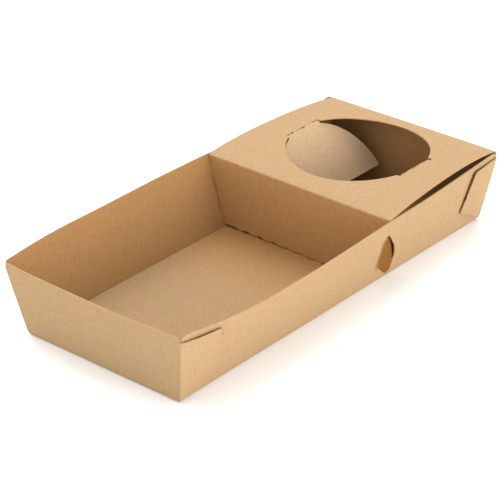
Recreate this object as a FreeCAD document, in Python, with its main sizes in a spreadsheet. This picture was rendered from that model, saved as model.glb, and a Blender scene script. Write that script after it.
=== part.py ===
import FreeCAD, Part
import os
import Sketcher
from FreeCAD import Placement, Rotation, Vector

# Cardboard tray box folded from one sheet: an open tray in front, and behind it a lid
# with a round cup hole whose two half discs hang down as flaps.
# X runs across the tray, Y from the front wall to the rear wall, Z up.
# The origin is the middle of the floor's underside.

doc = FreeCAD.newDocument("tray_box")
sheet = doc.addObject("Spreadsheet::Sheet", "Sizes")

# Lengths in millimetres, angles in degrees.
# A lean or a spread is how far a wall's rim stands outside its own foot.
# The side walls bow out most in front of the divider, the right one more than the left.
# The places of a spread are distances from the front crease, and an ear's reach is its
# length from its own end crease.
DRIVING_SIZES = {
    "board": 0.6,
    "base_width": 105.0,
    "base_length": 260.0,
    "rise": 43.0,
    "lean_front": 6.8,
    "bow_front": 2.4,
    "lean_rear": 5.4,
    "bow_rear": 0.4,
    "spread_front_right": 7.4,
    "spread_front_left": 8.6,
    "spread_shoulder_right": 13.6,
    "spread_shoulder_left": 12.1,
    "spread_belly_right": 16.0,
    "spread_belly_left": 13.2,
    "spread_divider": 13.0,
    "spread_lid_right": 11.3,
    "spread_lid_left": 10.3,
    "spread_rear": 7.2,
    "shoulder_from_front": 25.0,
    "belly_from_front": 70.0,
    "lid_middle_from_front": 200.0,
    "rim_round": 4.0,
    "panel_gap": 0.3,
    "divider_from_front": 157.5,
    "lid_arch": 4.2,
    "ear_gap": 0.5,
    "ear_base": 1.2,
    "ear_top": 39.6,
    "ear_reach_top": 20.0,
    "ear_reach_low": 25.5,
    "ear_low": 14.4,
    "ear_round": 2.0,
    "corner_drop": 2.4,
    "hole_radius": 41.2,
    "hole_from_divider": 55.0,
    "hinge_from_centre": 40.2,
    "hinge_length": 29.4,
    "flap_gap": 0.5,
    "flap_slit": 0.8,
    "hang_angle_left": 50.0,
    "hang_angle_right": 56.0,
    "tab_from_divider": 1.7,
    "tab_reach": 13.0,
    "tab_top": 31.5,
    "tab_nose_top": 17.5,
    "tab_nose_low": 2.6,
    "tab_low": 10.3,
    "tab_round": 2.0,
    "tab_gap": 0.4,
    "tab_angle": 14.0,
    "crease_cut": 5.0,
    "crease_cut_height": 0.5,
    "crease_pitch": 10.5,
    "crease_count": 10,
}

for row, (alias, value) in enumerate(DRIVING_SIZES.items(), start=1):
    sheet.set("A%d" % row, alias)
    sheet.set("B%d" % row, str(value))
    sheet.setAlias("B%d" % row, alias)
doc.recompute()


def size(alias):
    """One driving size, read back from the sheet."""
    return float(sheet.get(alias))


LEFT = -1
RIGHT = 1
SIDE_NAMES = {LEFT: "left", RIGHT: "right"}

HALF_WIDTH = "Sizes.base_width / 2"
FRONT_CREASE = "-Sizes.base_length / 2"
REAR_CREASE = "Sizes.base_length / 2"
DIVIDER_FACE = "(Sizes.divider_from_front - Sizes.base_length / 2)"
DIVIDER_BACK = "(%s + Sizes.board)" % DIVIDER_FACE
LID_REAR = "(Sizes.base_length / 2 + Sizes.lean_rear)"
LID_SPAN = "(%s - %s)" % (LID_REAR, DIVIDER_FACE)
LID_MIDDLE = "(%s + %s) / 2" % (DIVIDER_FACE, LID_REAR)
LID_RADIUS = "((%s^2 / 4 + Sizes.lid_arch^2) / (2 * Sizes.lid_arch))" % LID_SPAN
HOLE_CENTRE = "(%s + Sizes.hole_from_divider)" % DIVIDER_FACE

# A tool that cuts or clips a panel is this wide, so that it passes right through the tray.
TOOL_WIDTH = "Sizes.base_width * 2"
TOOL_HEIGHT = "Sizes.rise * 2"

# Turns that lay a sketch in the tray's side view or in its end view.
SIDE_VIEW = Rotation(Vector(1, 1, 1), 120)
END_VIEW = Rotation(Vector(1, 0, 0), 90)

# How a sketch names the ends of a line, and its own origin.
LINE_START_INDEX = 1
LINE_END_INDEX = 2
SKETCH_ORIGIN_INDEX = -1


def bind(item, expressions):
    """Bind an object's properties to expressions of the driving sizes."""
    for name, expression in expressions.items():
        item.setExpression(name, expression)


def prism(name, corners, view):
    """A prism right through the tray, over corners given as (across, up, rounding or None)."""
    sketch = doc.addObject("Sketcher::SketchObject", name + "_outline")
    sketch.Placement = Placement(Vector(0, 0, 0), view)
    points = [Vector(sketch.evalExpression(across), sketch.evalExpression(up), 0)
              for across, up, rounding in corners]
    lines = [sketch.addGeometry(Part.LineSegment(points[i - 1], points[i]))
             for i in range(len(corners))]
    for i, (across, up, rounding) in enumerate(corners):
        next_line = lines[(i + 1) % len(lines)]
        sketch.addConstraint(
            Sketcher.Constraint("Coincident", lines[i], LINE_END_INDEX,
                                next_line, LINE_START_INDEX))
        for direction, value, expression in (("DistanceX", points[i].x, across),
                                             ("DistanceY", points[i].y, up)):
            index = sketch.addConstraint(Sketcher.Constraint(
                direction, SKETCH_ORIGIN_INDEX, LINE_START_INDEX,
                lines[i], LINE_END_INDEX, value))
            sketch.setExpression("Constraints[%d]" % index, expression)
    for i, (across, up, rounding) in enumerate(corners):
        if rounding:
            arc = sketch.GeometryCount
            radius = sketch.evalExpression(rounding)
            sketch.fillet(lines[i], LINE_END_INDEX, radius, True, True)
            index = sketch.addConstraint(Sketcher.Constraint("Radius", arc, radius))
            sketch.setExpression("Constraints[%d]" % index, rounding)
    solid = doc.addObject("Part::Extrusion", name)
    solid.Base = sketch
    solid.DirMode = "Normal"
    solid.Solid = True
    solid.Symmetric = True
    bind(solid, {"LengthFwd": TOOL_WIDTH if view is SIDE_VIEW else "Sizes.base_length * 2"})
    return solid


def box(name, length, width, height, low_corner):
    """A box of the given size expressions, from its low corner's expressions."""
    item = doc.addObject("Part::Box", name)
    bind(item, {"Length": length, "Width": width, "Height": height,
                "Placement.Base.x": low_corner[0],
                "Placement.Base.y": low_corner[1],
                "Placement.Base.z": low_corner[2]})
    return item


def common(name, first, second):
    """What two solids share."""
    item = doc.addObject("Part::MultiCommon", name)
    item.Shapes = [first, second]
    return item


def fuse(name, pieces):
    """Pieces of one folded sheet, joined."""
    item = doc.addObject("Part::MultiFuse", name)
    item.Shapes = pieces
    return item


def cut(name, base, tool):
    """A solid less its tool."""
    item = doc.addObject("Part::Cut", name)
    item.Base = base
    item.Tool = tool
    return item


def shaped(name, shape):
    """A bowed panel, which no primitive or sketch feature makes."""
    item = doc.addObject("Part::Feature", name)
    item.Shape = shape
    return item


def closed_strip(first, second):
    """A closed wire of two long edges that run the same way, and their end lines."""
    start = Part.LineSegment(second.firstVertex().Point, first.firstVertex().Point).toShape()
    end = Part.LineSegment(first.lastVertex().Point, second.lastVertex().Point).toShape()
    return Part.Wire([start, first, end, second])


def ruled_solid(low_strip, high_strip):
    """A solid with straight lines from its low strip to its high one."""
    return Part.makeLoft([closed_strip(*low_strip), closed_strip(*high_strip)], True, True)


def side_line(side, height, inset):
    """The line along a side wall at a height, set in from the wall's outer face."""
    front_crease = -size("base_length") / 2
    spreads = (
        (front_crease - size("lean_front"), "spread_front_" + SIDE_NAMES[side]),
        (front_crease + size("shoulder_from_front"), "spread_shoulder_" + SIDE_NAMES[side]),
        (front_crease + size("belly_from_front"), "spread_belly_" + SIDE_NAMES[side]),
        (front_crease + size("divider_from_front"), "spread_divider"),
        (front_crease + size("lid_middle_from_front"), "spread_lid_" + SIDE_NAMES[side]),
        (size("base_length") / 2 + size("lean_rear"), "spread_rear"),
    )
    share = height / size("rise")
    half_width = size("base_width") / 2
    curve = Part.BSplineCurve()
    curve.interpolate([Vector(side * (half_width + size(spread) * share - inset), along, height)
                       for along, spread in spreads])
    return curve.toShape()


def side_panel(side, outer_inset, inner_inset):
    """A board along a side wall, between two insets from the wall's outer face."""
    low = [side_line(side, 0, inset) for inset in (outer_inset, inner_inset)]
    high = [side_line(side, size("rise"), inset) for inset in (outer_inset, inner_inset)]
    return ruled_solid(low, high)


def end_line(crease, lean, bow, height, inset):
    """The line along an end wall at a height; lean and bow are signed along Y."""
    share = height / size("rise")
    spread = max(size("spread_front_left"), size("spread_front_right"), size("spread_rear"))
    reach = size("base_width") / 2 + spread + size("ear_gap") + size("board")
    along = crease + lean * share + inset
    if height == 0:
        return Part.LineSegment(Vector(-reach, along, height),
                                Vector(reach, along, height)).toShape()
    return Part.Arc(Vector(-reach, along, height), Vector(0, along + bow, height),
                    Vector(reach, along, height)).toShape()


def end_panel(crease, lean, bow, inward):
    """An end wall's board, ruled from its straight crease to its bowed rim."""
    insets = (0, inward * size("board"))
    low = [end_line(crease, lean, bow, 0, inset) for inset in insets]
    high = [end_line(crease, lean, bow, size("rise"), inset) for inset in insets]
    return ruled_solid(low, high)


def space_between_side_walls():
    """The room that the divider and the lid fill from side wall to side wall."""
    inset = size("board") + size("panel_gap")
    top = size("rise") + size("lid_arch") + size("board")
    low = [side_line(side, 0, inset) for side in (LEFT, RIGHT)]
    high = [side_line(side, top, inset) for side in (LEFT, RIGHT)]
    return ruled_solid(low, high)


def side_walls():
    """Both side walls, with rounded rim corners and a window where the tab is pushed in."""
    front_end = FRONT_CREASE + " + Sizes.board + Sizes.panel_gap"
    rear_end = REAR_CREASE + " - Sizes.board - Sizes.panel_gap"
    limits = prism("side_wall_limits", [
        (front_end, "0", None),
        (rear_end, "0", None),
        (rear_end + " + Sizes.lean_rear", "Sizes.rise", "Sizes.rim_round"),
        (front_end + " - Sizes.lean_front", "Sizes.rise", "Sizes.rim_round"),
    ], SIDE_VIEW)
    windows = prism("tab_windows", tab_corners("0"), SIDE_VIEW)
    walls = []
    for side in (LEFT, RIGHT):
        board = shaped("side_board_" + SIDE_NAMES[side], side_panel(side, 0, size("board")))
        wall = common("side_wall_" + SIDE_NAMES[side], board, limits)
        walls.append(cut("windowed_wall_" + SIDE_NAMES[side], wall, windows))
    return walls


def tab_corners(gap):
    """The locking tab's outline: a hook-shaped half oval that leaves its fold rearward."""
    fold = DIVIDER_BACK + " + Sizes.tab_from_divider"
    nose = fold + " + Sizes.tab_reach - %s" % gap
    return [
        (fold, "Sizes.tab_low + %s" % gap, None),
        (nose, "Sizes.tab_nose_low + %s" % gap, "Sizes.tab_round"),
        (nose, "Sizes.tab_nose_top - %s" % gap, "Sizes.tab_round"),
        (fold, "Sizes.tab_top - %s" % gap, None),
    ]


def locking_tabs():
    """The windows' own board, swung inward about its upright fold behind the divider."""
    outline = prism("tab_limits", tab_corners("Sizes.tab_gap"), SIDE_VIEW)
    doc.recompute()
    fold_from_middle = (size("divider_from_front") - size("base_length") / 2
                        + size("board") + size("tab_from_divider"))
    tabs = []
    for side in (LEFT, RIGHT):
        flat = side_panel(side, 0, size("board")).common(outline.Shape)
        foot = Vector(side * (size("base_width") - size("board")) / 2, fold_from_middle, 0)
        fold_axis = Vector(side * size("spread_divider"), 0, size("rise"))
        flat.rotate(foot, fold_axis, side * size("tab_angle"))
        tabs.append(shaped("locking_tab_" + SIDE_NAMES[side], flat))
    return tabs


def end_wall_side(spread):
    """One side of an end wall's outline: foot, ear's foot, ear's top and rounded rim corner."""
    outside = HALF_WIDTH + " + Sizes.ear_gap + Sizes.board"
    return [
        (HALF_WIDTH, "0", None),
        (outside + " + %s * Sizes.ear_base / Sizes.rise" % spread, "Sizes.ear_base", None),
        (outside + " + %s * Sizes.ear_top / Sizes.rise" % spread, "Sizes.ear_top", None),
        (HALF_WIDTH + " + %s - Sizes.corner_drop" % spread, "Sizes.rise", "Sizes.ear_round"),
    ]


def end_walls():
    """Front and rear walls, wide enough at the rim to turn into the ears."""
    walls = []
    for name, crease, lean, bow, inward, left_spread, right_spread in (
            ("front", -size("base_length") / 2, -size("lean_front"), -size("bow_front"), 1,
             "Sizes.spread_front_left", "Sizes.spread_front_right"),
            ("rear", size("base_length") / 2, size("lean_rear"), size("bow_rear"), -1,
             "Sizes.spread_rear", "Sizes.spread_rear")):
        left_side = [("-(%s)" % across, up, rounding)
                     for across, up, rounding in end_wall_side(left_spread)]
        limits = prism(name + "_wall_limits",
                       end_wall_side(right_spread) + left_side[::-1], END_VIEW)
        board = shaped(name + "_board", end_panel(crease, lean, bow, inward))
        walls.append(common(name + "_wall", board, limits))
    return walls


def ears():
    """Four ears that turn off the end walls and lie on the side walls' outer faces."""
    pieces = []
    for name, crease, sign in (("front", FRONT_CREASE, ""), ("rear", REAR_CREASE, "-")):
        lean = "Sizes.lean_" + name
        reach = crease + " + %s" % sign
        limits = prism(name + "_ear_limits", [
            (reach + "(-%s * Sizes.ear_base / Sizes.rise)" % lean, "Sizes.ear_base", None),
            (reach + "Sizes.ear_reach_low", "Sizes.ear_low", "Sizes.ear_round"),
            (reach + "Sizes.ear_reach_top", "Sizes.ear_top", "Sizes.ear_round"),
            (reach + "(-%s * Sizes.ear_top / Sizes.rise)" % lean, "Sizes.ear_top", None),
        ], SIDE_VIEW)
        for side in (LEFT, RIGHT):
            label = "%s_ear_%s" % (name, SIDE_NAMES[side])
            outside = -size("ear_gap") - size("board")
            board = shaped(label + "_board", side_panel(side, outside, -size("ear_gap")))
            pieces.append(common(label, board, limits))
    return pieces


def cylinder_across(name, radius, length, middle):
    """A cylinder that lies across the tray, its middle given as expressions."""
    item = doc.addObject("Part::Cylinder", name)
    item.Placement = Placement(Vector(0, 0, 0), Rotation(Vector(0, 1, 0), 90))
    bind(item, {"Radius": radius, "Height": length,
                "Placement.Base.x": "-(%s) / 2" % length,
                "Placement.Base.y": middle[0],
                "Placement.Base.z": middle[1]})
    return item


def arched_lid():
    """The lid panel, arched from the divider's crease back to the rear wall's crease."""
    axis = (LID_MIDDLE, "Sizes.rise + Sizes.lid_arch - " + LID_RADIUS)
    outer = cylinder_across("lid_outer_arc", LID_RADIUS, TOOL_WIDTH, axis)
    inner = cylinder_across("lid_inner_arc", LID_RADIUS + " - Sizes.board", TOOL_WIDTH, axis)
    shell = cut("lid_shell", outer, inner)
    span = box("lid_span", TOOL_WIDTH, LID_SPAN + " - Sizes.board", TOOL_HEIGHT,
               ("-(%s) / 2" % TOOL_WIDTH, DIVIDER_FACE + " + Sizes.board / 2", "Sizes.rise / 2"))
    return common("lid", shell, span)


def hole_tools():
    """The round cup hole, and the band between its two straight hinge lines."""
    disc = doc.addObject("Part::Cylinder", "cup_hole")
    bind(disc, {"Radius": "Sizes.hole_radius", "Height": "Sizes.rise",
                "Placement.Base.y": HOLE_CENTRE, "Placement.Base.z": "Sizes.rise - Sizes.lid_arch"})
    band = box("hinge_band", "Sizes.hinge_from_centre * 2", "Sizes.hinge_length", "Sizes.rise",
               ("-Sizes.hinge_from_centre", HOLE_CENTRE + " - Sizes.hinge_length / 2",
                "Sizes.rise - Sizes.lid_arch"))
    return [disc, band]


def crease_cuts():
    """Short cuts along the divider's foot, where the sheet folds back the other way."""
    cuts = []
    for index in range(int(size("crease_count"))):
        middle = "(%d - (Sizes.crease_count - 1) / 2) * Sizes.crease_pitch" % index
        cuts.append(box("crease_cut_%d" % (index + 1),
                        "Sizes.crease_cut", "Sizes.board * 3", "Sizes.crease_cut_height",
                        (middle + " - Sizes.crease_cut / 2", DIVIDER_FACE + " - Sizes.board",
                         "Sizes.board * 2")))
    return cuts


def divider_and_crease():
    """The divider's board, its top edge rounded where the sheet turns back into the lid."""
    return prism("divider", [
        (DIVIDER_FACE, "Sizes.board", None),
        (DIVIDER_BACK, "Sizes.board", None),
        (DIVIDER_BACK, "Sizes.rise", None),
        (DIVIDER_FACE, "Sizes.rise", "Sizes.board / 2"),
    ], SIDE_VIEW)


def inner_sheet():
    """The sheet's own tongue: lid, divider and inner floor, each trimmed clear of the walls."""
    inner_floor = box("inner_floor", TOOL_WIDTH,
                      "Sizes.divider_from_front - Sizes.board - Sizes.panel_gap", "Sizes.board",
                      ("-(%s) / 2" % TOOL_WIDTH, FRONT_CREASE + " + Sizes.board + Sizes.panel_gap",
                       "Sizes.board"))
    room = shaped("room_between_side_walls", space_between_side_walls())
    panels = [common("trimmed_" + panel.Name, panel, room)
              for panel in (arched_lid(), divider_and_crease(), inner_floor)]
    return cut("inner_sheet", fuse("tongue", panels),
               fuse("tongue_cuts", hole_tools() + crease_cuts()))


def tray():
    """The whole folded sheet but the two cup flaps."""
    floor = box("floor_board", "Sizes.base_width", "Sizes.base_length", "Sizes.board",
                ("-(%s)" % HALF_WIDTH, FRONT_CREASE, "0"))
    pieces = [floor, inner_sheet()] + side_walls() + locking_tabs() + end_walls() + ears()
    sheet_of_board = fuse("tray", pieces)
    sheet_of_board.Refine = True
    return sheet_of_board


def cup_flap(side):
    """Half of the disc cut from the hole, hanging from its straight hinge line."""
    name = "cup_flap_" + SIDE_NAMES[side]
    inward = "-" if side == RIGHT else ""
    disc = doc.addObject("Part::Cylinder", name + "_disc")
    bind(disc, {"Radius": "Sizes.hole_radius - Sizes.flap_gap", "Height": "Sizes.board",
                "Placement.Base.x": inward + "Sizes.hinge_from_centre"})
    lobe_length = "Sizes.hinge_from_centre / 2 - Sizes.flap_gap"
    lobe = box(name + "_root", lobe_length, "Sizes.hinge_length - Sizes.flap_gap * 2", "Sizes.board",
               ("Sizes.flap_gap" if side == LEFT else "-Sizes.hinge_from_centre / 2",
                "Sizes.flap_gap - Sizes.hinge_length / 2", "0"))
    half_length = "Sizes.hinge_from_centre - Sizes.flap_gap - Sizes.flap_slit / 2"
    half = box(name + "_half", half_length, "Sizes.hole_radius * 2", "Sizes.board",
               ("Sizes.flap_gap" if side == LEFT else "Sizes.flap_slit / 2 - Sizes.hinge_from_centre",
                "-Sizes.hole_radius", "0"))
    flap = common(name, fuse(name + "_blank", [disc, lobe]), half)
    flap.Placement = Placement(Vector(0, 0, 0), Rotation(Vector(0, -side, 0), 45))
    bind(flap, {"Placement.Base.x": "%d * Sizes.hinge_from_centre" % side,
                "Placement.Base.y": HOLE_CENTRE,
                "Placement.Base.z": "Sizes.rise + Sizes.lid_arch - Sizes.board",
                "Placement.Rotation.Angle": "Sizes.hang_angle_" + SIDE_NAMES[side]})
    return flap


sub_parts = [tray(), cup_flap(LEFT), cup_flap(RIGHT)]
doc.recompute()

for item in doc.Objects:
    if "Invalid" in item.State or "Error" in item.State:
        raise RuntimeError("%s did not build: %s" % (item.Name, item.State))
for item in sub_parts:
    if item.Shape.isNull() or not item.Shape.isValid():
        raise RuntimeError("%s has no valid shape" % item.Label)
    print(item.Label, "solids", len(item.Shape.Solids), "volume", round(item.Shape.Volume, 1))

os.makedirs("parts", exist_ok=True)
for item in sub_parts:
    item.Shape.exportStep("parts/%s.step" % item.Label)
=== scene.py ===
import math

import bmesh
import bpy
import numpy as np
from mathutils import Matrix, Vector, geometry, noise


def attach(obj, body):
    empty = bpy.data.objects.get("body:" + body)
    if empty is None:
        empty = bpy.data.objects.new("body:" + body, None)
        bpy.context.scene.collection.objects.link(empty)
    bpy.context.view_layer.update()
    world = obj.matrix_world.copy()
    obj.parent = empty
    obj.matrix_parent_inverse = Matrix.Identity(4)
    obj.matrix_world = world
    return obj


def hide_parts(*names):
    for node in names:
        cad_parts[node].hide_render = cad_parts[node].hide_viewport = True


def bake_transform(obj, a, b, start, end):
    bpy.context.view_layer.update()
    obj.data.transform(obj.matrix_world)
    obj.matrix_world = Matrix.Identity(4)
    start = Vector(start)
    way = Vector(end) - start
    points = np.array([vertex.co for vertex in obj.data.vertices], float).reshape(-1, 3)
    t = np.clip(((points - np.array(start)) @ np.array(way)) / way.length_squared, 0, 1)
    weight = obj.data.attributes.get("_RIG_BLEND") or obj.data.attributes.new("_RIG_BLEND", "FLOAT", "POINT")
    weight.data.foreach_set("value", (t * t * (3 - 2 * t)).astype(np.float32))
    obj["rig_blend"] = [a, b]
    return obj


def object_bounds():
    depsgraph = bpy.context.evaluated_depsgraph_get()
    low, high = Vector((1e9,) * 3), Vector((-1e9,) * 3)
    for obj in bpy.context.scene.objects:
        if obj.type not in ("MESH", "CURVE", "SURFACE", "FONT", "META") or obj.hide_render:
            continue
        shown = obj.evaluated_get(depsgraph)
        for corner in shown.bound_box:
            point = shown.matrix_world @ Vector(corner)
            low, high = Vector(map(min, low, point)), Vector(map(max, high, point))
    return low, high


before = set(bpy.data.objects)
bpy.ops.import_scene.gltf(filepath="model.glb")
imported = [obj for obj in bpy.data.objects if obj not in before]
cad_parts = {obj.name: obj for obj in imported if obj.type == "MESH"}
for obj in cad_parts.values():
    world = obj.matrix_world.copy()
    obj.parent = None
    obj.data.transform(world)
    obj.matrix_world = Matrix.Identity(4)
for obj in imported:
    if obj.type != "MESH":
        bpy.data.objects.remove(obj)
cad_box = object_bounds()

# Cardboard tray box folded from one sheet: an open tray in front, and behind it a lid with
# a round cup hole whose two half discs hang down as flaps.
# X runs across the tray, Y from the front wall to the rear wall, Z up. Lengths in metres.
LEFT = -1
RIGHT = 1

# The board, the floor and the height of the walls.
BOARD = 0.0006
HALF_BOARD = BOARD / 2
FLOOR_WIDTH = 0.105
FLOOR_LENGTH = 0.260
HALF_WIDTH = FLOOR_WIDTH / 2
FRONT_CREASE = -FLOOR_LENGTH / 2
REAR_CREASE = FLOOR_LENGTH / 2
TRAY_LENGTH = 0.1575
DIVIDER_FACE = FRONT_CREASE + TRAY_LENGTH
RISE = 0.043

# Clear space between panels that lie edge to face, and between the two floors.
PANEL_GAP = 0.0003
LAYER_GAP = 0.00015

# The end walls: how far they lean out at their rims and bow at mid-width.
LEAN_FRONT = 0.0068
LEAN_REAR = 0.0054
BOW_FRONT = -0.0024
BOW_REAR = 0.0004
BOW_REACH = 0.0624
# How far their upper corners drop, and the heights of the points that draw the curve.
CORNER_DROP = 0.0024
CORNER_HEIGHTS = (0.0412, 0.0422)

# How far the side walls' rims stand outside their feet, from the front rim to the rear one.
SPREAD_PLACES = (FRONT_CREASE - LEAN_FRONT, FRONT_CREASE + 0.025, FRONT_CREASE + 0.070,
                 DIVIDER_FACE, FRONT_CREASE + 0.200, REAR_CREASE + LEAN_REAR)
SPREADS = {
    RIGHT: (0.0074, 0.0136, 0.0160, 0.0130, 0.0113, 0.0072),
    LEFT: (0.0086, 0.0121, 0.0132, 0.0130, 0.0103, 0.0072),
}
# Where the side walls start and end at their feet.
WALL_ENDS = (FRONT_CREASE + BOARD + PANEL_GAP, REAR_CREASE - BOARD - PANEL_GAP)
# Rounding of the side walls' upper corners, front and rear.
RIM_ROUNDS = {RIGHT: (0.004, 0.004), LEFT: (0.0015, 0.002)}
# The left wall's rim stands a little above the lid near its rear end.
PROUD = 0.0011
PROUD_REACH = 0.009
PROUD_FADE = 0.004

# The lid rises as an arch, and its edges draw in with it.
LID_ARCH = 0.0042
CROWN_SHAPE = 0.85
LID_DRAW = 0.0016
LID_DRAW_SHAPE = 0.7
# The rear wall's bow fades along this much of the lid.
LID_BOW_FADE = 0.030
# The inner floor is that much narrower on each side than the walls leave room for.
FLOOR_DRAW = 0.0005

# The cup hole and its flaps: a gap parts them from the lid and a slit from each other, and
# they hang down by an angle.
HOLE_CENTRE = DIVIDER_FACE + 0.055
HOLE_RADIUS = 0.0412
HOLE_ARC_STEPS = 48
HINGE_FROM_CENTRE = 0.0402
HINGE_LENGTH = 0.0294
HINGE_STEP = 0.0004
HANG = {LEFT: math.radians(50), RIGHT: math.radians(56)}
FLAP_GAP = 0.0005
FLAP_SLIT = 0.0008
FLAP_ARC_STEPS = 40
# Cuts along the flaps' hinges, as (start, end, depth) from the front end to the rear one.
HINGE_CUTS = {
    LEFT: ((-0.0137, -0.0121, 0.0007), (-0.0112, -0.0078, 0.0007), (-0.0026, 0.0030, 0.0007),
           (0.0092, 0.0122, 0.0007), (0.0128, 0.0144, 0.0011)),
    RIGHT: ((-0.0146, -0.0134, 0.0012), (-0.0122, -0.0078, 0.0008), (-0.0046, 0.0036, 0.0009),
            (0.0064, 0.0108, 0.0008), (0.0117, 0.0147, 0.0018)),
}
# How far the cuts reach into the flaps, as a share of how far they reach into the lid.
CUT_SHARE = 0.7

# Cuts along the divider's foot, by their lengths from left to right and their evenly
# spaced middles, and how far above the fold they start and end.
CREASE_CUTS = (0.0085, 0.0046, 0.0042, 0.0038, 0.0046, 0.0050, 0.0045, 0.0042, 0.0048, 0.0044)
CREASE_PITCH = 0.0105
CREASE_CUT_TOP = 0.0016
CREASE_CUT_LOW = 0.0002
# How far the painted shade along the divider's foot and the painted warm bounce light on the divider fade.
CREASE_SHADE = 0.0007
PAINTED_BOUNCE_FADE = 0.075

# The ears: their space from the side wall, their outline, and how far they stand off it.
EAR_GAP = 0.0005
EAR_BASE = 0.0006
EAR_LOW = 0.0144
EAR_TOP = 0.0396
EAR_REACH_LOW = 0.0255
EAR_REACH_TOP = 0.020
EAR_ROUND = 0.002
EAR_LIFT = {"front": 0.0009, "rear": 0.0012}
EAR_FLARE = 1.4

# The tab's window and the tab that was pushed in from it, as (y, z, rounding).
TAB_FOLD = DIVIDER_FACE + 0.0013
TAB_NOSE = DIVIDER_FACE + 0.0152
WINDOW = (
    (TAB_FOLD, 0.0108, 0),
    (TAB_NOSE - 0.0034, 0.0020, 0.0014),
    (TAB_NOSE + 0.0001, 0.0034, 0.0014),
    (TAB_NOSE + 0.0003, 0.0146, 0.0060),
    (TAB_NOSE - 0.0031, 0.0218, 0.0070),
    (TAB_FOLD + 0.0022, 0.0318, 0.0010),
    (TAB_FOLD, 0.0326, 0),
)
TAB = (
    (TAB_FOLD, 0.0108, 0),
    (TAB_NOSE - 0.0034, 0.0022, 0.0014),
    (TAB_NOSE + 0.0001, 0.0036, 0.0014),
    (TAB_NOSE + 0.0003, 0.0146, 0.0060),
    (TAB_NOSE - 0.0031, 0.0213, 0.0070),
    (TAB_FOLD + 0.0032, 0.0300, 0.0006),
    (TAB_FOLD, 0.0306, 0),
)
# The tab is twisted: its slope grows between two heights. It bends softly off its fold.
TAB_SLOPE_LOW = math.tan(math.radians(0.8))
TAB_SLOPE_TOP = math.tan(math.radians(7.5))
TAB_TWIST_LOW = 0.008
TAB_TWIST_TOP = 0.022
TAB_BEND = 0.0025
TAB_BEND_SHARE = 0.5
TAB_STEP = TAB_BEND / 3
# The wall is drawn in beside the tab's fold, and painted shade darkens it there. A lead is
# how far such a fade has come at the fold's own ends, and the reach is how far in front of
# the fold it starts.
DIMPLE_DEPTH = 0.0007
DIMPLE_REACH = 0.0045
DIMPLE_FADE = 0.004
DIMPLE_LEAD = 0.3
FOLD_SHADE = 0.8
FOLD_SHADE_FADE = 0.0010
FOLD_SHADE_LEAD_LOW = 0.8
FOLD_SHADE_LEAD_TOP = 0.6

# Half the length of board that each fold bends over.
FLOOR_FOLD = 0.0007
TONGUE_FOLD = 0.0004
LID_FOLD = 0.0006
EAR_FOLD = 0.0009
# A flap's fold takes this much board before its corner and after it.
FLAP_FOLD_LEAD = 0.00015
FLAP_FOLD_TAIL = 0.0009

# The meshes: the longest step between points, the steps in a fold or a rounding, the finer
# columns in front of a tab's fold, and the distance at which panels' points are joined.
STEP = 0.0024
FOLD_STEPS = 6
NEAR_TAB_REACH = 0.006
NEAR_TAB_STEP = 0.0008
MERGE = 0.00003
# Lattice points keep this far from a panel's outline, and from a short cut's.
EDGE_CLEAR = 0.4 * STEP
CUT_CLEAR = 0.0003
CUT_CORNERS = 4
# Panels are filled in millimetres, where points this close count as one.
MILLI = 1000
SAME_POINT = 1e-5
# What rounding may add to a count of steps, and the least squared length to divide by.
ROUND_OFF = 1e-6
LEAST_SQUARE = 1e-18
# Material slots of the board's reverse side and its cut edges. Its outer face has slot 0.
REVERSE_INDEX = 1
EDGE_INDEX = 2
# The slight unevenness of folded board, the same in each run.
WARP = 0.00022
WARP_SCALE = 22.0
WARP_SEED = 7
noise.seed_set(WARP_SEED)
BOX_LOW, BOX_HIGH = cad_box


# Curves and outlines
def smooth_curve(places, values):
    """A natural cubic spline through the values, as a function of place."""
    steps = np.diff(places)
    slopes = np.diff(values) / steps
    system = np.eye(len(places))
    bend_change = np.zeros(len(places))
    for i in range(1, len(places) - 1):
        system[i, i - 1:i + 2] = steps[i - 1], 2 * (steps[i - 1] + steps[i]), steps[i]
        bend_change[i] = 6 * (slopes[i] - slopes[i - 1])
    bends = np.linalg.solve(system, bend_change)

    def value(place):
        i = min(max(int(np.searchsorted(places, place)) - 1, 0), len(steps) - 1)
        before = (places[i + 1] - place) / steps[i]
        after = 1 - before
        curve = (before ** 3 - before) * bends[i] + (after ** 3 - after) * bends[i + 1]
        return before * values[i] + after * values[i + 1] + curve * steps[i] ** 2 / 6

    return value


SPREAD = {side: smooth_curve(SPREAD_PLACES, SPREADS[side]) for side in (LEFT, RIGHT)}


def smooth_step(value):
    """0 below 0, 1 above 1 and a smooth rise between."""
    value = min(max(value, 0.0), 1.0)
    return value * value * (3 - 2 * value)


def bent(first, corner, last, share):
    """A point on the bend that leads from one point to another round a corner."""
    return first * (1 - share) ** 2 + corner * 2 * share * (1 - share) + last * share ** 2


def steps_between(start, end, longest=STEP):
    """Places from start to end, evenly spaced and no further apart than the longest step."""
    count = max(1, math.ceil(abs(end - start) / longest - ROUND_OFF))
    return [start + (end - start) * i / count for i in range(count + 1)]


def rows_through(marks):
    """Places through every mark, evenly spaced between one mark and the next."""
    rows = [marks[0]]
    for start, end in zip(marks, marks[1:]):
        rows += steps_between(start, end)[1:]
    return rows


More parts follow.
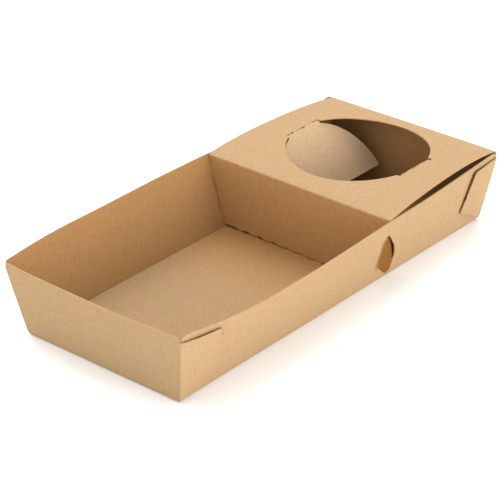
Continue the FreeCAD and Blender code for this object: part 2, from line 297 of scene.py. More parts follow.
def rounded_outline(corners):
    """A closed outline through corners given as (u, v, rounding), with its sides divided."""
    points = []
    for i, (u, v, rounding) in enumerate(corners):
        corner = Vector((u, v))
        if not rounding:
            points.append(corner)
            continue
        before = Vector(corners[i - 1][:2]) - corner
        after = Vector(corners[(i + 1) % len(corners)][:2]) - corner
        reach = rounding / math.tan(before.angle(after) / 2)
        start = corner + before.normalized() * reach
        end = corner + after.normalized() * reach
        points += [bent(start, corner, end, i / FOLD_STEPS) for i in range(FOLD_STEPS + 1)]
    outline = []
    for start, end in zip(points, points[1:] + points[:1]):
        longest_way = max(abs(end.x - start.x), abs(end.y - start.y))
        count = len(steps_between(0, longest_way)) - 1
        outline += [start.lerp(end, i / count) for i in range(count)]
    return [(point.x, point.y) for point in outline]


def inside(points, loop):
    """For each point, whether it lies in a closed loop."""
    found = np.zeros(len(points), bool)
    for (u1, v1), (u2, v2) in zip(loop, loop[1:] + loop[:1]):
        if v1 == v2:
            continue
        crosses = (points[:, 1] > v1) != (points[:, 1] > v2)
        found ^= crosses & (points[:, 0] < (u2 - u1) * (points[:, 1] - v1) / (v2 - v1) + u1)
    return found


def distance_to(points, loop):
    """For each point, its distance from a closed loop."""
    nearest = np.full(len(points), np.inf)
    for start, end in zip(loop, loop[1:] + loop[:1]):
        side = np.subtract(end, start)
        from_start = points - np.array(start)
        along = np.clip(from_start @ side / max(side @ side, LEAST_SQUARE), 0, 1)
        away = from_start - np.outer(along, side)
        nearest = np.minimum(nearest, np.linalg.norm(away, axis=1))
    return nearest


# Panels of the sheet
def new_sheet():
    """An empty mesh for one folded sheet."""
    mesh = bmesh.new()
    mesh.loops.layers.uv.new("blank")
    # Point layers that carry the painted shade and the painted warm bounce light.
    for layer in ("shade", "warmth"):
        mesh.verts.layers.float.new(layer)
    return mesh


def warped(point):
    """The point with the slight unevenness of folded board, kept within the part's box."""
    offset = noise.noise_vector(point * WARP_SCALE) * WARP
    offset.z *= point.z / RISE
    moved = point + offset
    return Vector(min(max(value, low + HALF_BOARD), high - HALF_BOARD)
                  for value, low, high in zip(moved, BOX_LOW, BOX_HIGH))


def add_panel(mesh, outline, place, columns, rows, holes=(), **tones):
    """Adds a panel of the sheet, filled with a lattice of points and placed in space."""
    lattice = np.array([(u, v) for v in rows for u in columns])
    keep = inside(lattice, outline) & (distance_to(lattice, outline) > EDGE_CLEAR)
    for hole in holes:
        clear = CUT_CLEAR if len(hole) == CUT_CORNERS else EDGE_CLEAR
        keep &= ~inside(lattice, hole) & (distance_to(lattice, hole) > clear)
    points = [*outline, *(point for hole in holes for point in hole), *map(tuple, lattice[keep])]
    edges = []
    start = 0
    for loop in (outline, *holes):
        last = start + len(loop) - 1
        edges += [(i, i + 1 if i < last else start) for i in range(start, last + 1)]
        start += len(loop)
    flat, _, triangles, *_ = geometry.delaunay_2d_cdt(
        [Vector(point) * MILLI for point in points], edges, [], 0, SAME_POINT)
    flat = np.array([tuple(point) for point in flat]) / MILLI
    middles = flat[np.array(triangles)].mean(axis=1)
    wanted = inside(middles, outline)
    for hole in holes:
        wanted &= ~inside(middles, hole)
    blank = mesh.loops.layers.uv["blank"]
    vertices = [mesh.verts.new(warped(place(u, v))) for u, v in flat]
    for name, tone in tones.items():
        layer = mesh.verts.layers.float[name]
        for vertex, (u, v) in zip(vertices, flat):
            vertex[layer] = tone(u, v)
    for corners in (triangle for triangle, kept in zip(triangles, wanted) if kept):
        face = mesh.faces.new([vertices[i] for i in corners])
        for loop, i in zip(face.loops, corners):
            loop[blank].uv = flat[i]


def finish_sheet(mesh, name, outer_down=True):
    """Joins the panels at their folds, gives the board its thickness and makes the object."""
    bmesh.ops.remove_doubles(mesh, verts=mesh.verts, dist=MERGE)
    bmesh.ops.delete(mesh, geom=[v for v in mesh.verts if not v.link_faces], context="VERTS")
    bmesh.ops.recalc_face_normals(mesh, faces=mesh.faces)
    mesh.faces.ensure_lookup_table()
    lowest = min(mesh.faces, key=lambda face: face.calc_center_median().z)
    if (lowest.normal.z < 0) != outer_down:
        bmesh.ops.reverse_faces(mesh, faces=mesh.faces)
    mesh.normal_update()
    blank = mesh.loops.layers.uv["blank"]
    shifts = [(v, v.normal * HALF_BOARD) for v in mesh.verts]
    borders = [(e.verts[0], e.verts[1], e.link_loops[0][blank].uv.copy())
               for e in mesh.edges if e.is_boundary]
    copied = bmesh.ops.duplicate(mesh, geom=[*mesh.verts, *mesh.edges, *mesh.faces])
    twin = copied["vert_map"]
    reverse = [item for item in copied["geom"] if isinstance(item, bmesh.types.BMFace)]
    for face in reverse:
        face.normal_flip()
        face.material_index = REVERSE_INDEX
    for vertex, shift in shifts:
        twin[vertex].co -= shift
        vertex.co += shift
    for first, second, spot in borders:
        face = mesh.faces.new((first, second, twin[second], twin[first]))
        face.material_index = EDGE_INDEX
        for loop in face.loops:
            loop[blank].uv = spot
    bmesh.ops.recalc_face_normals(mesh, faces=mesh.faces)
    for face in mesh.faces:
        face.smooth = True
    for edge in mesh.edges:
        on_cut_edge = {face.material_index == EDGE_INDEX for face in edge.link_faces}
        edge.smooth = len(on_cut_edge) == 1
    data = bpy.data.meshes.new(name)
    mesh.to_mesh(data)
    mesh.free()
    piece = bpy.data.objects.new(name, data)
    bpy.context.scene.collection.objects.link(piece)
    return piece


# The strip from the front rim down, along the floor, up the rear wall, over the lid, down
# the divider and back along the floor: the middle of its board as (y, z), and the runs
# along it at which it folds.
INNER_FLOOR = BOARD + HALF_BOARD + LAYER_GAP
STRIP_PATH = (
    (FRONT_CREASE - LEAN_FRONT + HALF_BOARD, RISE),
    (FRONT_CREASE + HALF_BOARD, HALF_BOARD),
    (REAR_CREASE - HALF_BOARD, HALF_BOARD),
    (REAR_CREASE + LEAN_REAR - HALF_BOARD, RISE - HALF_BOARD),
    (DIVIDER_FACE + HALF_BOARD, RISE - HALF_BOARD),
    (DIVIDER_FACE + HALF_BOARD, INNER_FLOOR),
    (FRONT_CREASE + BOARD + PANEL_GAP, INNER_FLOOR),
)
STRIP_FOLDS = (0, FLOOR_FOLD, FLOOR_FOLD, LID_FOLD, LID_FOLD, TONGUE_FOLD, 0)
STRIP_MARKS = [0.0]
for (y1, z1), (y2, z2) in zip(STRIP_PATH, STRIP_PATH[1:]):
    STRIP_MARKS.append(STRIP_MARKS[-1] + max(abs(y2 - y1), abs(z2 - z1)))
RIM, FRONT_FOOT, REAR_FOOT, LID_REAR, LID_FRONT, DIVIDER_FOOT, TONGUE_END = STRIP_MARKS
HOLE_RUN = LID_REAR + (STRIP_PATH[3][0] - HOLE_CENTRE)


def lid_crown(run):
    """1 at the top of the lid's arch, falling to 0 at its two ends."""
    along = min(max((run - LID_REAR) / (LID_FRONT - LID_REAR), 0), 1)
    return (4 * along * (1 - along)) ** CROWN_SHAPE


def strip_path(run):
    """The strip's middle at a run along it, as (0, y, z), with sharp folds."""
    y = np.interp(run, STRIP_MARKS, [point[0] for point in STRIP_PATH])
    z = np.interp(run, STRIP_MARKS, [point[1] for point in STRIP_PATH])
    return Vector((0, y, z + LID_ARCH * lid_crown(run)))


def strip_point(across, run):
    """The strip's middle surface at a place across it and a run along it."""
    point = strip_path(run)
    for mark, fold in zip(STRIP_MARKS, STRIP_FOLDS):
        if abs(run - mark) < fold:
            point = bent(strip_path(mark - fold), strip_path(mark), strip_path(mark + fold),
                         (run - mark + fold) / (2 * fold))
    bow = BOW_FRONT if run < REAR_FOOT else BOW_REAR
    share = np.interp(run, (RIM, FRONT_FOOT, REAR_FOOT, LID_REAR, LID_REAR + LID_BOW_FADE),
                      (1, 0, 0, 1, 0))
    point.x = across
    point.y += bow * share * (1 - (across / BOW_REACH) ** 2)
    return point


def wall_point(side, y, z, outward=-HALF_BOARD):
    """A point on a side wall, a distance outward from its outer face."""
    return Vector((side * (HALF_WIDTH + SPREAD[side](y) * z / RISE + outward), y, z))


def end_wall_middle(end, z):
    """The middle of an end wall's board at a height, away from its bow."""
    if end == "front":
        return FRONT_CREASE + HALF_BOARD - LEAN_FRONT * z / RISE
    return REAR_CREASE - HALF_BOARD + LEAN_REAR * z / RISE


def ear_corner(side, end, z):
    """Where an end wall's middle meets the plane of its ear."""
    return wall_point(side, end_wall_middle(end, z), z, EAR_GAP + HALF_BOARD)


def end_run(end, z):
    """The run along the strip at a height on an end wall."""
    if end == "front":
        return float(np.interp(z, (HALF_BOARD, RISE), (FRONT_FOOT, RIM)))
    return float(np.interp(z, (HALF_BOARD, RISE - HALF_BOARD), (REAR_FOOT, LID_REAR)))


def end_wall_limit(side, end, z):
    """How far across an end wall reaches at a height."""
    at_ear = side * ear_corner(side, end, min(max(z, EAR_BASE), EAR_TOP)).x - EAR_FOLD
    if z > EAR_TOP:
        drop = CORNER_DROP if end == "front" else BOARD
        share = (z - EAR_TOP) / (RISE - EAR_TOP)
        return at_ear - drop * (1 - math.sqrt(max(0, 1 - share ** 2)))
    if z < EAR_BASE:
        return float(np.interp(z, (HALF_BOARD, EAR_BASE), (HALF_WIDTH - FLOOR_FOLD, at_ear)))
    return at_ear


def strip_limit(side, run):
    """How far across the strip reaches at a run along it."""
    y, z = strip_path(run).yz
    if run < FRONT_FOOT or REAR_FOOT < run < LID_REAR:
        return end_wall_limit(side, "front" if run < FRONT_FOOT else "rear", z)
    if run < REAR_FOOT:
        return HALF_WIDTH - HALF_BOARD - FLOOR_FOLD
    limit = HALF_WIDTH + SPREAD[side](y) * z / RISE - BOARD - PANEL_GAP
    beside_floor = smooth_step((run - DIVIDER_FOOT - TONGUE_FOLD) / STEP)
    return limit - LID_DRAW * lid_crown(run) ** LID_DRAW_SHAPE - FLOOR_DRAW * beside_floor


def strip_rows():
    """Runs along the strip at which its points lie, closer together in the folds."""
    marks = {RIM, TONGUE_END}
    marks |= {FRONT_FOOT + wall_end - (FRONT_CREASE + HALF_BOARD) for wall_end in WALL_ENDS}
    marks |= {DIVIDER_FOOT - TONGUE_FOLD - CREASE_SHADE, DIVIDER_FOOT + TONGUE_FOLD + CREASE_SHADE}
    for end in ("front", "rear"):
        marks |= {end_run(end, z) for z in (EAR_BASE, EAR_TOP, *CORNER_HEIGHTS)}
    for mark, fold in zip(STRIP_MARKS, STRIP_FOLDS):
        if fold:
            marks |= set(steps_between(mark - fold, mark + fold, 2 * fold / FOLD_STEPS))
    rows = rows_through(sorted(marks))
    return [row for i, row in enumerate(rows) if i == 0 or row - rows[i - 1] > MERGE]


def hinge_side(side):
    """A hinge side of the cup hole as (x, y), from front to rear, with its cuts."""
    line = []
    for along in steps_between(-HINGE_LENGTH / 2, HINGE_LENGTH / 2, HINGE_STEP):
        out = HINGE_FROM_CENTRE
        for start, end, depth in HINGE_CUTS[side]:
            if start < along < end:
                out += depth * math.sqrt(math.sin(math.pi * (along - start) / (end - start)))
        line.append((side * out, along))
    return line


def cup_hole():
    """The cup hole's outline in the strip's places: a circle with two straight hinge sides."""
    half_angle = math.asin(HINGE_LENGTH / 2 / HOLE_RADIUS)
    outline = []
    for side, turn in ((RIGHT, 0), (LEFT, math.pi)):
        outline += hinge_side(side)[::side]
        for i in range(HOLE_ARC_STEPS + 1):
            angle = turn + half_angle + (math.pi - 2 * half_angle) * i / HOLE_ARC_STEPS
            outline.append((HOLE_RADIUS * math.cos(angle), HOLE_RADIUS * math.sin(angle)))
    return [(x, HOLE_RUN - y) for x, y in outline]


def crease_cuts():
    """Short cuts along the divider's foot, where the sheet folds back the other way."""
    top = DIVIDER_FOOT - CREASE_CUT_TOP
    bottom = DIVIDER_FOOT - CREASE_CUT_LOW
    cuts = []
    for i, length in enumerate(CREASE_CUTS):
        middle = (i - (len(CREASE_CUTS) - 1) / 2) * CREASE_PITCH
        start = middle - length / 2
        end = middle + length / 2
        cuts.append([(start, top), (end, top), (end, bottom), (start, bottom)])
    return cuts


def crease_shade(_, run):
    """Painted shade along the fold at the divider's foot, where it meets the inner floor."""
    return 1 - smooth_step((abs(run - DIVIDER_FOOT) - TONGUE_FOLD) / CREASE_SHADE)


def divider_warmth(_, run):
    """Painted warm bounce light: 1 on the shaded divider, fading to 0 along the inner floor."""
    fade = 1 - smooth_step((run - DIVIDER_FOOT) / PAINTED_BOUNCE_FADE)
    return smooth_step((run - LID_FRONT) / LID_FOLD) * fade


def add_strip(mesh):
    """The strip of front wall, floor, rear wall, lid, divider and inner floor."""
    rows = strip_rows()
    right_side = [(strip_limit(RIGHT, run), run) for run in rows]
    left_side = [(-strip_limit(LEFT, run), run) for run in rows]
    front_rim = [(x, RIM) for x in steps_between(left_side[0][0], right_side[0][0])]
    tongue_end = [(x, TONGUE_END) for x in steps_between(right_side[-1][0], left_side[-1][0])]
    outline = front_rim[1:-1] + right_side + tongue_end[1:-1] + left_side[::-1]
    columns = steps_between(-BOW_REACH, BOW_REACH)
    # The strip carries painted shade along the divider's foot and painted warm bounce light on the divider
    # and inner floor.
    add_panel(mesh, outline, strip_point, columns, rows[1:-1], [cup_hole(), *crease_cuts()],
              shade=crease_shade, warmth=divider_warmth)


# Side walls and their locking tabs, in places (y, climb): the climb is measured up the
# board from the floor's edge.
def wall_height(climb):
    """The height of the wall's middle at a climb from the floor's edge."""
    return climb - FLOOR_FOLD + HALF_BOARD


def wall_climb(z):
    """The climb from the floor's edge that reaches a height."""
    return z + FLOOR_FOLD - HALF_BOARD


def on_wall(corners):
    """Corners given as (y, z, rounding) in the wall's own places."""
    return [(y, wall_climb(z), rounding) for y, z, rounding in corners]


def near_fold(y):
    """1 at the tab's fold and behind it, fading to 0 in front of it."""
    return smooth_step((y - TAB_FOLD + DIMPLE_REACH) / DIMPLE_REACH)


def dimple(y, z):
    """How far the wall is drawn in beside the tab's fold."""
    from_ends = min(z - WINDOW[0][1], TAB[-1][1] - z)
    return DIMPLE_DEPTH * near_fold(y) * smooth_step(from_ends / DIMPLE_FADE + DIMPLE_LEAD)


def fold_shade(y, z):
    """Painted shade on the wall beside the tab's fold, where it is drawn in."""
    low_end = smooth_step((z - WINDOW[0][1]) / FOLD_SHADE_FADE + FOLD_SHADE_LEAD_LOW)
    top_end = smooth_step((TAB[-1][1] - z) / DIMPLE_FADE + FOLD_SHADE_LEAD_TOP)
    return FOLD_SHADE * near_fold(y) * low_end * top_end


def wall_shade(y, climb):
    """Painted shade on the side wall, in front of the tab's fold alone."""
    return fold_shade(y, wall_height(climb)) if y < TAB_FOLD + MERGE else 0.0


def tab_shade(y, climb):
    """Painted shade on the tab, pushed in from the wall: full all over past its fold."""
    return fold_shade(y, wall_height(climb)) if y <= TAB_FOLD + MERGE else 1.0


def wall_outline(side):
    """A side wall's outline, which follows the end walls' lean."""
    front_foot, rear_foot = WALL_ENDS
    front_round, rear_round = RIM_ROUNDS[side]
    rim = wall_climb(RISE)
    fold_end = 2 * FLOOR_FOLD
    lean_at_fold = fold_end / RISE
    return rounded_outline([
        (front_foot, 0, 0),
        (rear_foot, 0, 0),
        (rear_foot + LEAN_REAR * lean_at_fold, fold_end, 0),
        (rear_foot + LEAN_REAR, rim, rear_round),
        (front_foot - LEAN_FRONT, rim, front_round),
        (front_foot - LEAN_FRONT * lean_at_fold, fold_end, 0),
    ])


def add_side_wall(mesh, side):
    """A side wall that rises from the floor's edge, with its locking tab pushed in."""
    def place(y, climb):
        floor_edge = Vector((side * (HALF_WIDTH - HALF_BOARD - FLOOR_FOLD), y, HALF_BOARD))
        corner = Vector((side * (HALF_WIDTH - HALF_BOARD), y, HALF_BOARD))
        if climb < 2 * FLOOR_FOLD:
            above = wall_point(side, y, HALF_BOARD + FLOOR_FOLD)
            return bent(floor_edge, corner, above, climb / (2 * FLOOR_FOLD))
        z = wall_height(climb)
        drawn_in = dimple(y, z) if y <= TAB_FOLD + MERGE else 0
        if side == LEFT:
            past_start = y - (WALL_ENDS[1] + LEAN_REAR - PROUD_REACH)
            z *= 1 + PROUD / RISE * smooth_step(past_start / PROUD_FADE)
        return wall_point(side, y, z, -HALF_BOARD - drawn_in)

    def tab_place(y, climb):
        z = wall_height(climb)
        past = max(y - TAB_FOLD, 0)
        twist = smooth_step((z - TAB_TWIST_LOW) / (TAB_TWIST_TOP - TAB_TWIST_LOW))
        slope = TAB_SLOPE_LOW + (TAB_SLOPE_TOP - TAB_SLOPE_LOW) * twist
        bend = TAB_BEND_SHARE * TAB_BEND * (1 - math.exp(-past / TAB_BEND))
        drawn_in = dimple(min(y, TAB_FOLD), z)
        return wall_point(side, y, z, -HALF_BOARD - drawn_in - slope * (past - bend))

    before_tab = steps_between(TAB_FOLD - NEAR_TAB_REACH, TAB_FOLD, NEAR_TAB_STEP)[:-1]
    columns = (steps_between(FRONT_CREASE - LEAN_FRONT, before_tab[0])[:-1] + before_tab
               + steps_between(TAB_FOLD, REAR_CREASE + LEAN_REAR)[1:])
    fold_end = 2 * FLOOR_FOLD
    fold_rows = steps_between(0, fold_end, fold_end / FOLD_STEPS)[1:]
    rows = fold_rows + steps_between(fold_end, wall_climb(RISE))[1:]
    window = rounded_outline(on_wall(WINDOW))
    add_panel(mesh, wall_outline(side), place, columns, rows, [window], shade=wall_shade)
    tab_columns = steps_between(TAB_FOLD, TAB_NOSE, TAB_STEP)
    tab_outline = rounded_outline(on_wall(TAB))
    add_panel(mesh, tab_outline, tab_place, tab_columns, rows, shade=tab_shade)


# Ears, in places (along, z): along is measured from the end wall's side of the fold.
def ear_length(lean, z):
    """How far an ear reaches at a height, on an end wall that leans out at its rim."""
    reach = np.interp(z, (EAR_BASE, EAR_LOW, EAR_TOP), (0, EAR_REACH_LOW, EAR_REACH_TOP))
    return reach + lean * z / RISE


def add_ear(mesh, side, end):
    """An ear that turns off an end wall and lies on a side wall's outer face."""
    inward = 1 if end == "front" else -1
    lean = LEAN_FRONT if end == "front" else LEAN_REAR
    full_length = ear_length(lean, EAR_TOP)

    def on_side(run, z):
        reached = run / full_length
        shape = math.sin(math.pi * min(reached, 1)) if end == "front" else reached
        lift = EAR_LIFT[end] * shape * (z / EAR_TOP) ** EAR_FLARE
        y = ear_corner(side, end, z).y + inward * run
        return wall_point(side, y, z, EAR_GAP + HALF_BOARD + lift)

    def place(along, z):
        corner = ear_corner(side, end, z)
        on_end_wall = strip_point(corner.x - side * EAR_FOLD, end_run(end, z))
        if along < 2 * EAR_FOLD:
            return bent(on_end_wall, corner, on_side(EAR_FOLD, z), along / (2 * EAR_FOLD))
        return on_side(along - EAR_FOLD, z)

    corners = [
        (0, EAR_BASE, 0),
        (EAR_REACH_LOW + lean * EAR_LOW / RISE, EAR_LOW, EAR_ROUND),
        (EAR_REACH_TOP + lean * EAR_TOP / RISE, EAR_TOP, EAR_ROUND),
        *((2 * EAR_FOLD * share, EAR_TOP, 0) for share in (1, 2 / 3, 1 / 3, 0)),
    ]
    fold_columns = steps_between(0, 2 * EAR_FOLD, 2 * EAR_FOLD / FOLD_STEPS)[1:]
    columns = fold_columns + steps_between(2 * EAR_FOLD, EAR_REACH_LOW + lean)[1:]
    add_panel(mesh, rounded_outline(corners), place, columns, steps_between(EAR_BASE, EAR_TOP))


def tray_board():
    """The whole sheet but the two cup flaps."""
    mesh = new_sheet()
    add_strip(mesh)
    for side in (LEFT, RIGHT):
        add_side_wall(mesh, side)
        for end in ("front", "rear"):
            add_ear(mesh, side, end)
    return finish_sheet(mesh, "tray_board")


# Cup flaps, in places (along, run): along the hinge, and down the flap from it.
def flap_direction(side):
    """The way a hanging flap points from its hinge."""
    return Vector((-side * math.cos(HANG[side]), 0, -math.sin(HANG[side])))


def flap_outline(side, root_rows):
    """Half a disc whose straight sides are its cut hinge and its lower end."""
    radius = HOLE_RADIUS - FLAP_GAP
    half_hinge = HINGE_LENGTH / 2 - FLAP_GAP
    first_angle = math.atan2(half_hinge, math.sqrt(radius ** 2 - half_hinge ** 2))
    last_angle = math.acos(FLAP_SLIT / 2 / radius)
    arc = []
    for i in range(FLAP_ARC_STEPS + 1):
        angle = first_angle + (last_angle - first_angle) * i / FLAP_ARC_STEPS
        arc.append((radius * math.sin(angle), HINGE_FROM_CENTRE - radius * math.cos(angle)))
    one_side = [(half_hinge, run) for run in root_rows] + arc
    other_side = [(-along, run) for along, run in one_side]
    flap_end = HINGE_FROM_CENTRE - FLAP_SLIT / 2
    end_line = [(along, flap_end) for along in steps_between(arc[-1][0], -arc[-1][0])[1:-1]]
    hinge_line = [(along, CUT_SHARE * (abs(x) - HINGE_FROM_CENTRE))
                  for x, along in hinge_side(side) if abs(along) < half_hinge - MERGE]
    return one_side + end_line + other_side[::-1] + hinge_line


def flap_board(side, name):
    """Half of the disc cut from the hole, with the fold that joins it to the lid."""
    down = flap_direction(side)
    outward = Vector((-side * math.sin(HANG[side]), 0, math.cos(HANG[side])))
    lid_underside = RISE + LID_ARCH - BOARD

    def place(along, run):
        hinge = Vector((side * HINGE_FROM_CENTRE, HOLE_CENTRE + along, lid_underside))
        plane = hinge + outward * HALF_BOARD
        if run >= FLAP_FOLD_TAIL:
            return plane + down * run
        lid_edge = strip_point(side * HINGE_FROM_CENTRE, HOLE_RUN - along)
        corner = lid_edge - Vector((side * FLAP_FOLD_LEAD, 0, 0))
        return bent(lid_edge, corner, plane + down * FLAP_FOLD_TAIL, run / FLAP_FOLD_TAIL)

    root_rows = steps_between(0, FLAP_FOLD_TAIL, FLAP_FOLD_TAIL / FOLD_STEPS)
    flap_rows = steps_between(FLAP_FOLD_TAIL, HINGE_FROM_CENTRE - FLAP_SLIT / 2)
    columns = steps_between(-(HOLE_RADIUS - FLAP_GAP), HOLE_RADIUS - FLAP_GAP)
    mesh = new_sheet()
    add_panel(mesh, flap_outline(side, root_rows), place, columns, root_rows[1:] + flap_rows[1:])
    return finish_sheet(mesh, name, outer_down=False)


# Kraft board. Colours are linear, and tints are multiplied onto them.
KRAFT_BASE = (0.352, 0.233, 0.126)
# The reverse side is darker and more saturated than the outer face: partly its own tone, partly painted
# shade of the tray's insides.
KRAFT_REVERSE = (0.305, 0.170, 0.070)
KRAFT_FLAP = (0.400, 0.280, 0.170)
KRAFT_EDGE = (0.360, 0.225, 0.115)
# Painted shade: the tint laid on where the shade layer is set, on the pushed-in tab, beside its fold and
# along the divider's foot.
PAINTED_SHADE_TINT = (0.51, 0.33, 0.135)
# Painted warm bounce light of the shaded divider and the inner floor behind it.
PAINTED_BOUNCE_TINT = (1.1, 0.92, 0.70)
LIGHT_TINT = (1.10, 1.10, 1.10)
DARK_TINT = (0.84, 0.80, 0.74)
PINK_TINT = (1.05, 0.97, 1.03)
OLIVE_TINT = (0.96, 1.01, 0.89)
KRAFT_ROUGHNESS = 0.88
KRAFT_SPECULAR = 0.06
EDGE_CONTRAST = 1.4

# Clouds as (scale, detail, roughness), the range of their values that turns one tone into
# the other, and how much of the other tone shows.
HUE_CLOUD = (150, 4, 0.7)
HUE_RANGE = (0.36, 0.64)
DARK_CLOUD = (520, 4, 0.75)
DARK_RANGE = (0.42, 0.68)
DARK_SHARE = 0.75
LIGHT_CLOUD = (700, 3, 0.75)
LIGHT_RANGE = (0.45, 0.70)
LIGHT_SHARE = 0.80
# Fibres as (scale, width, distortion), and how much of their tone shows.
FIBRE_DETAIL = 2.0
FIBRE_ROUGHNESS = 0.55
DARK_FIBRES = (330, 0.020, 1.2)
DARK_FIBRE_SHARE = 0.28
LIGHT_FIBRES = (450, 0.022, 1.6)
LIGHT_FIBRE_SHARE = 0.30
# The relief: a fine cloud with the light fibres raised on it.
RELIEF_CLOUD = (900, 4, 0.75)
FIBRE_RELIEF = 0.35
BUMP_STRENGTH = 0.35
BUMP_DISTANCE = 0.00012


def kraft(name, base, contrast=1.0):
    """Kraft board: soft clouds, mottling, light and dark fibres and their fine relief, with painted shade
    and painted warm bounce light laid on from the sheet's point layers.
    """
    material = bpy.data.materials.new(name)
    material.use_nodes = True
    nodes = material.node_tree.nodes
    links = material.node_tree.links
    shader = nodes["Principled BSDF"]
    shader.inputs["Roughness"].default_value = KRAFT_ROUGHNESS
    shader.inputs["Specular IOR Level"].default_value = KRAFT_SPECULAR
    place = nodes.new("ShaderNodeTexCoord").outputs["Object"]

    def set_inputs(node, **values):
        for socket, value in values.items():
            node.inputs[socket.replace("_", " ")].default_value = value

    def cloud(scale, detail, roughness, distortion=0.0):
        node = nodes.new("ShaderNodeTexNoise")
        set_inputs(node, Scale=scale, Detail=detail, Roughness=roughness, Distortion=distortion)
        links.new(place, node.inputs["Vector"])
        return node.outputs["Fac"]

    def ramp(source, low, high, low_to, high_to):
        node = nodes.new("ShaderNodeMapRange")
        node.interpolation_type = "SMOOTHSTEP"
        set_inputs(node, From_Min=low, From_Max=high, To_Min=low_to, To_Max=high_to)
        links.new(source, node.inputs["Value"])
        return node.outputs["Result"]

    def combine(operation, first, second):
        node = nodes.new("ShaderNodeMath")
        node.operation = operation
        for socket, source in zip(node.inputs, (first, second)):
            if isinstance(source, (int, float)):
                socket.default_value = source
            else:
                links.new(source, socket)
        return node.outputs["Value"]

    def fibres(scale, width, distortion):
        lines = cloud(scale, FIBRE_DETAIL, FIBRE_ROUGHNESS, distortion)
        from_middle = combine("ABSOLUTE", combine("SUBTRACT", lines, 0.5), 0.0)
        return ramp(from_middle, 0.0, width, 1.0, 0.0)

    def mix(colour, amount, target, blend="MIX"):
        node = nodes.new("ShaderNodeMix")
        node.data_type = "RGBA"
        node.blend_type = blend
        links.new(amount, node.inputs["Factor"])
        if isinstance(colour, tuple):
            node.inputs["A"].default_value = (*colour, 1)
        else:
            links.new(colour, node.inputs["A"])
        node.inputs["B"].default_value = (*target, 1)
        return node.outputs["Result"]

    light, dark, pink, olive = (
        tuple(min(1.0, part * share) for part, share in zip(base, tint))
        for tint in (LIGHT_TINT, DARK_TINT, PINK_TINT, OLIVE_TINT))
    colour = mix(pink, ramp(cloud(*HUE_CLOUD), *HUE_RANGE, 0.0, 1.0), olive)
    colour = mix(colour, ramp(cloud(*DARK_CLOUD), *DARK_RANGE, 0.0, DARK_SHARE * contrast), dark)
    colour = mix(colour, ramp(cloud(*LIGHT_CLOUD), *LIGHT_RANGE, 0.0, LIGHT_SHARE * contrast), light)
    dark_fibres = fibres(*DARK_FIBRES)
    light_fibres = fibres(*LIGHT_FIBRES)
    colour = mix(colour, combine("MULTIPLY", dark_fibres, DARK_FIBRE_SHARE * contrast), dark)
    colour = mix(colour, combine("MULTIPLY", light_fibres, LIGHT_FIBRE_SHARE * contrast), light)
    # Painted shade and painted warm bounce light, laid on where the sheet's point layers set them.
    for layer, tint in (("warmth", PAINTED_BOUNCE_TINT), ("shade", PAINTED_SHADE_TINT)):
        attribute = nodes.new("ShaderNodeAttribute")
        attribute.attribute_name = layer
        colour = mix(colour, attribute.outputs["Fac"], tint, "MULTIPLY")
    links.new(colour, shader.inputs["Base Color"])
    relief = combine("ADD", cloud(*RELIEF_CLOUD), combine("MULTIPLY", light_fibres, FIBRE_RELIEF))
    bump = nodes.new("ShaderNodeBump")
    set_inputs(bump, Strength=BUMP_STRENGTH, Distance=BUMP_DISTANCE)
    links.new(relief, bump.inputs["Height"])
    links.new(bump.outputs["Normal"], shader.inputs["Normal"])
    return material


face_material = kraft("kraft_face", KRAFT_BASE)
flap_material = kraft("kraft_flap_face", KRAFT_FLAP)
reverse_material = kraft("kraft_reverse", KRAFT_REVERSE)
edge_material = kraft("kraft_cut_edge", KRAFT_EDGE, EDGE_CONTRAST)


# The pieces
def dress(piece, node, face=face_material):
    """Gives a piece its materials and sets it in place of its node."""
    for material in (face, reverse_material, edge_material):
        piece.data.materials.append(material)
    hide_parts(node)


tray = tray_board()
dress(tray, "tray")
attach(tray, "tray")

for side, side_name in ((LEFT, "left"), (RIGHT, "right")):
    node = "cup_flap_" + side_name
    flap = flap_board(side, node + "_board")
    dress(flap, node, flap_material)
    root = Vector((side * HINGE_FROM_CENTRE, HOLE_CENTRE, RISE + LID_ARCH - HALF_BOARD))
    tail = root + flap_direction(side) * FLAP_FOLD_TAIL
    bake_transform(flap, "tray", "flap_" + side_name, start=root, end=tail)


# Floor, lights and camera. Lights stand at (azimuth, elevation) in degrees, with azimuth 0
# on the right and 90 behind.
STAGE_HALF = 6.0
STAGE_DROP = 0.0001
STAGE_COLOUR = (0.885, 0.90, 0.905)
STAGE_ROUGHNESS = 0.9
STAGE_SPECULAR = 0.1
LIGHTS = {
    "rear_left_light": (135, 55, 2.45),
    "right_light": (0, 3, 4.7),
    "front_light": (270, 3, 0.95),
    "left_light": (180, 3, 3.7),
}
LIGHT_SPREAD = 50
SKY_COLOUR = (1.0, 1.0, 1.0)
SKY_STRENGTH = 1.11
CAMERA_PLACE = (0.6512, -0.7877, 0.5632)
CAMERA_LOOK = (-0.56668, 0.67463, -0.47303)
CAMERA_LENS = 152.28


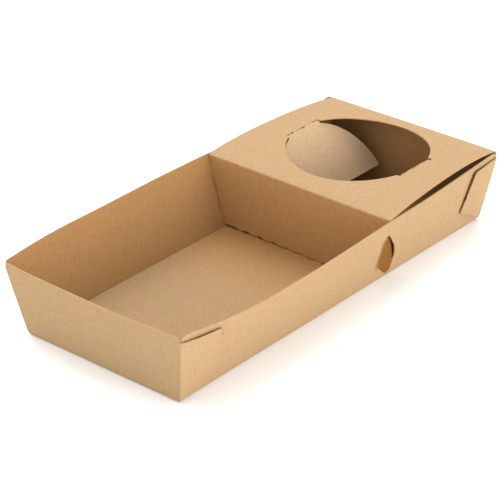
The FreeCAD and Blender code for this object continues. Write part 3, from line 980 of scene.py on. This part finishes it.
def studio_floor():
    """A pale matt floor, just under the tray."""
    material = bpy.data.materials.new("studio_white")
    material.use_nodes = True
    shader = material.node_tree.nodes["Principled BSDF"]
    shader.inputs["Base Color"].default_value = (*STAGE_COLOUR, 1)
    shader.inputs["Roughness"].default_value = STAGE_ROUGHNESS
    shader.inputs["Specular IOR Level"].default_value = STAGE_SPECULAR
    data = bpy.data.meshes.new("studio_floor")
    corners = [(x * STAGE_HALF, y * STAGE_HALF, -STAGE_DROP)
               for x, y in ((-1, -1), (1, -1), (1, 1), (-1, 1))]
    data.from_pydata(corners, [], [(0, 1, 2, 3)])
    floor = bpy.data.objects.new("studio_floor", data)
    floor.data.materials.append(material)
    bpy.context.scene.collection.objects.link(floor)


def point_at(item, direction):
    """Turns a light or a camera to look along a direction, upright."""
    item.rotation_mode = "QUATERNION"
    item.rotation_quaternion = Vector(direction).to_track_quat("-Z", "Y")


def sun(name, azimuth, elevation, strength):
    """A broad soft light from an azimuth and an elevation."""
    turn = math.radians(azimuth)
    rise = math.radians(elevation)
    data = bpy.data.lights.new(name, "SUN")
    data.energy = strength
    data.angle = math.radians(LIGHT_SPREAD)
    light = bpy.data.objects.new(name, data)
    point_at(light, (-math.cos(turn) * math.cos(rise), -math.sin(turn) * math.cos(rise),
                     -math.sin(rise)))
    bpy.context.scene.collection.objects.link(light)


def sky():
    """Even light from all round."""
    world = bpy.data.worlds.new("studio")
    bpy.context.scene.world = world
    world.use_nodes = True
    background = world.node_tree.nodes["Background"]
    background.inputs["Color"].default_value = (*SKY_COLOUR, 1)
    background.inputs["Strength"].default_value = SKY_STRENGTH


def photo_camera():
    """The camera at the photograph's viewing angle."""
    data = bpy.data.cameras.new("photo_camera")
    data.lens = CAMERA_LENS
    camera = bpy.data.objects.new("photo_camera", data)
    camera.location = CAMERA_PLACE
    point_at(camera, CAMERA_LOOK)
    bpy.context.scene.collection.objects.link(camera)
    bpy.context.scene.camera = camera


studio_floor()
for light_name, settings in LIGHTS.items():
    sun(light_name, *settings)
sky()
bpy.context.scene.view_settings.view_transform = "Standard"
photo_camera()
